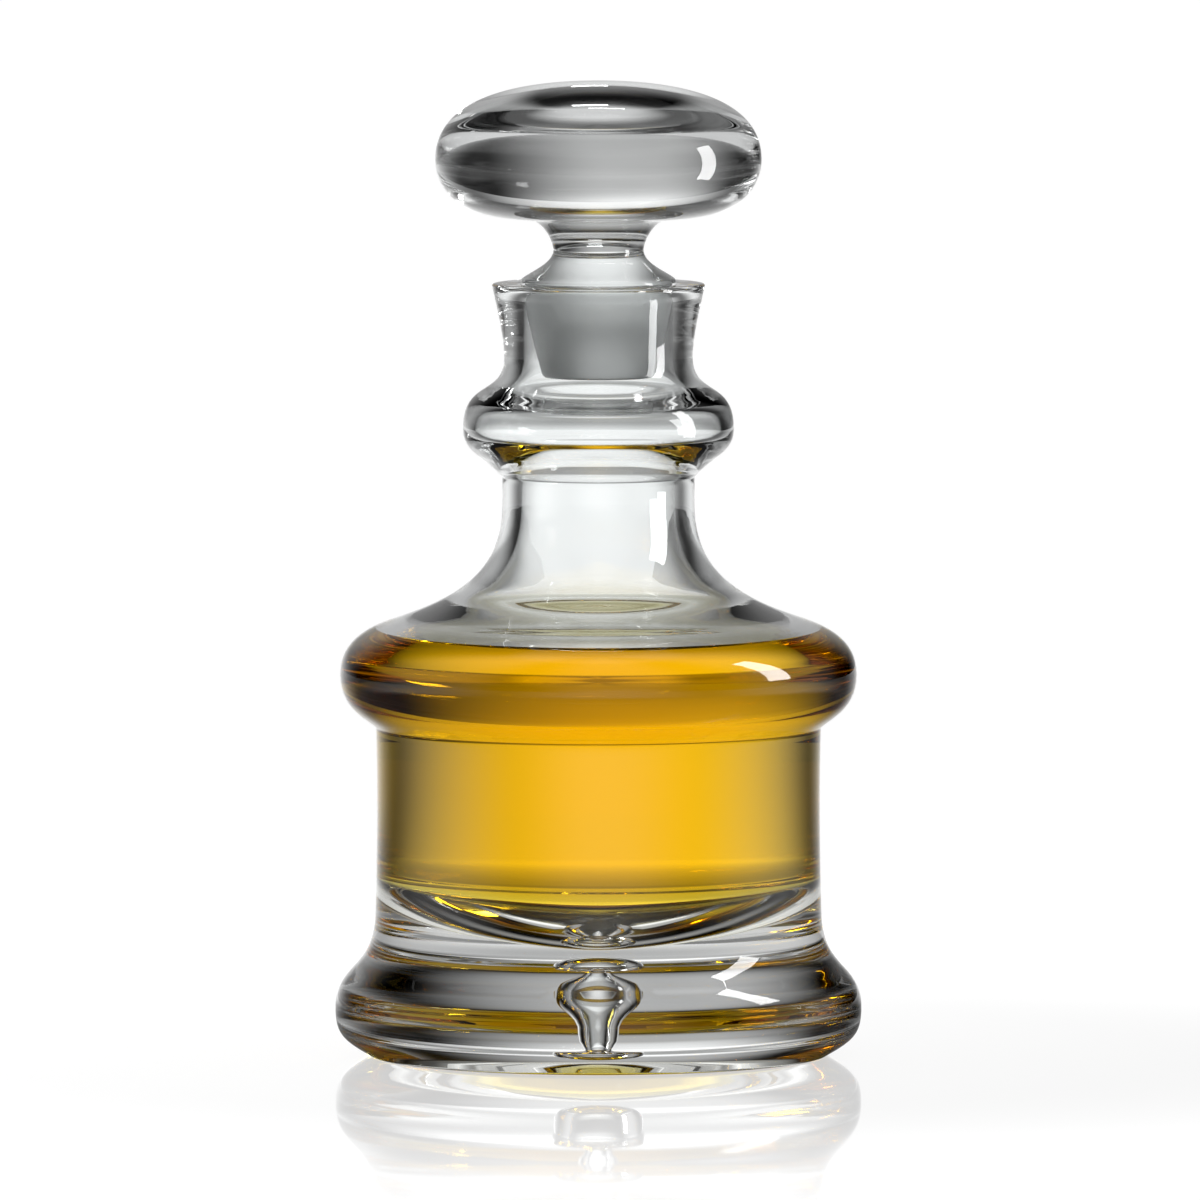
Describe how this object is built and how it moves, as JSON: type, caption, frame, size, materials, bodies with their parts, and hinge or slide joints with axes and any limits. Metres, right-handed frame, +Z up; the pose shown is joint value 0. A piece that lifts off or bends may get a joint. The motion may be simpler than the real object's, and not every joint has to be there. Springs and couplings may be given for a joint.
{
  "type": "crystal decanter",
  "caption": "Round crystal decanter with neck ring, bulged shoulder and solid base holding a bubble over a bell-shaped hollow; broad-knobbed stopper; part filled with amber spirit.",
  "frame": {"origin": "centre of the flat ring underneath that the decanter stands on", "axes": "+Z up along the axis of the bottle and its stopper; the shape is round, so +X and +Y are free"},
  "size_m": [0.134, 0.134, 0.2482],
  "materials": {
    "vessel_crystal": "polished",
    "stopper_crystal": "polished",
    "amber_spirit": "gloss"
  },
  "bodies": {
    "decanter": {"decanter_vessel": "vessel_crystal", "spirit_fill": "amber_spirit"},
    "stopper": {"stopper": "stopper_crystal"}
  },
  "joints": [
    {"name": "stopper_lift", "type": "slide", "parent": "decanter", "child": "stopper", "axis": [0, 0, 1], "range_m": [0, 0.055]}
  ]
}
